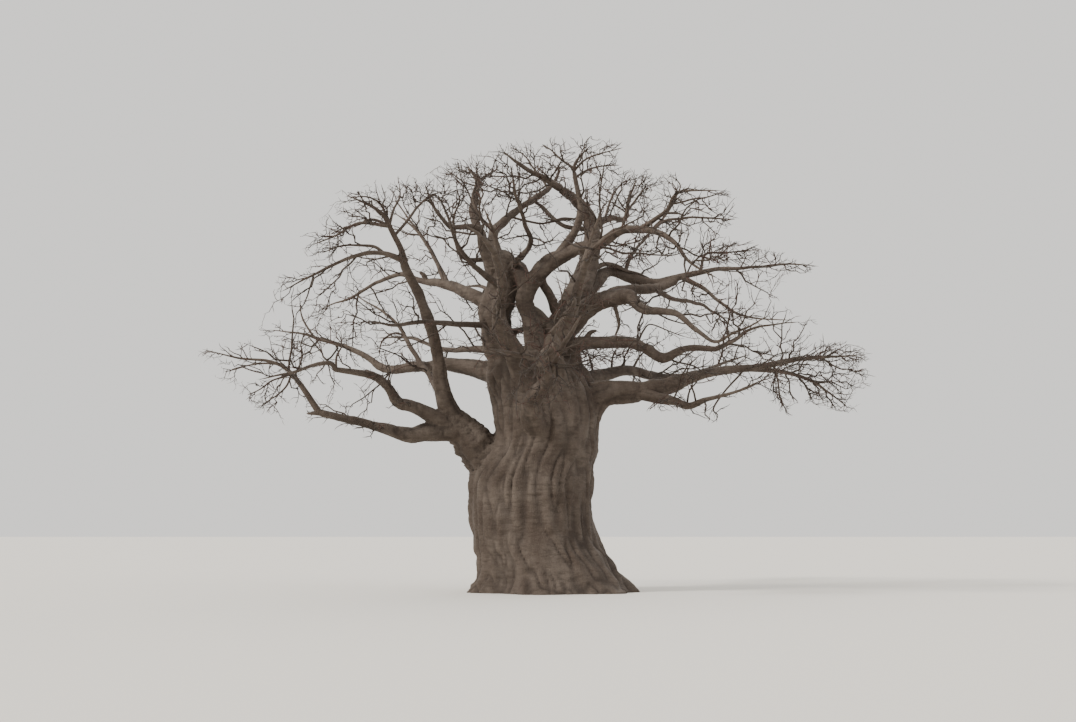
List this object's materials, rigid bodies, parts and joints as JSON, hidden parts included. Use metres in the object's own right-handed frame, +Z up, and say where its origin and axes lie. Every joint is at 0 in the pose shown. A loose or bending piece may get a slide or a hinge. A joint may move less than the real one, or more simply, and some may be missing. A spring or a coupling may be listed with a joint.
{
  "type": "baobab tree",
  "caption": "Old leafless baobab tree: bottle-shaped trunk with a ribbed foot, stout forking boughs and a wide dome of bare twigs.",
  "frame": {"origin": "at ground level near the middle of the trunk's foot, on the flat cut under the trunk", "axes": "+Z up; -Z is the outward normal of the flat cut; +X along the crown's widest spread, from the low left arm to the low right arm as the picture shows it; +Y away from the picture's viewpoint"},
  "size_m": [23.7593, 20.0809, 16.6499],
  "materials": {
    "bark": "smooth grey-brown bark, folded and pitted, with a dull sheen",
    "twigs": "dull dark brown twig bark"
  },
  "bodies": {
    "root": {"arching_back_twigs": "twigs", "arching_bough": "bark", "arching_low_twigs": "twigs", "arching_twigs": "twigs", "back_left_bough": "bark", "back_left_twigs": "twigs", "back_right_bough": "bark", "back_right_twigs": "twigs", "cross_bough": "bark", "cross_rising_twigs": "twigs", "cross_twigs": "twigs", "front_crown_twigs": "twigs", "front_left_bough": "bark", "front_left_twigs": "twigs", "front_right_bough": "bark", "front_right_twigs": "twigs", "high_back_bough": "bark", "high_back_twigs": "twigs", "hooked_twigs": "twigs", "left_arch_twigs": "twigs", "left_back_twigs": "twigs", "left_crown_bough": "bark", "left_crown_twigs": "twigs", "left_front_crown_twigs": "twigs", "left_front_twigs": "twigs", "left_high_bough": "bark", "left_high_twigs": "twigs", "left_leader": "bark", "left_level_bough": "bark", "left_level_twigs": "twigs", "left_limb": "bark", "left_rising_twigs": "twigs", "left_shoulder_twigs": "twigs", "low_back_bough": "bark", "low_back_twigs": "twigs", "low_front_bough": "bark", "low_front_twigs": "twigs", "low_left_bough": "bark", "low_left_twigs": "twigs", "low_right_bough": "bark", "low_right_hanging_twigs": "twigs", "low_right_twigs": "twigs", "middle_bough": "bark", "middle_crown_bough": "bark", "middle_crown_twigs": "twigs", "middle_twigs": "twigs", "right_leader": "bark", "right_leader_twigs": "twigs", "right_level_bough": "bark", "right_level_twigs": "twigs", "right_middle_bough": "bark", "right_middle_twigs": "twigs", "right_upper_twigs": "twigs", "second_left_bough": "bark", "second_left_twigs": "twigs", "spur_twigs": "twigs", "tall_left_bough": "bark", "tall_left_twigs": "twigs", "top_twigs": "twigs", "trunk": "bark"}
  },
  "joints": []
}
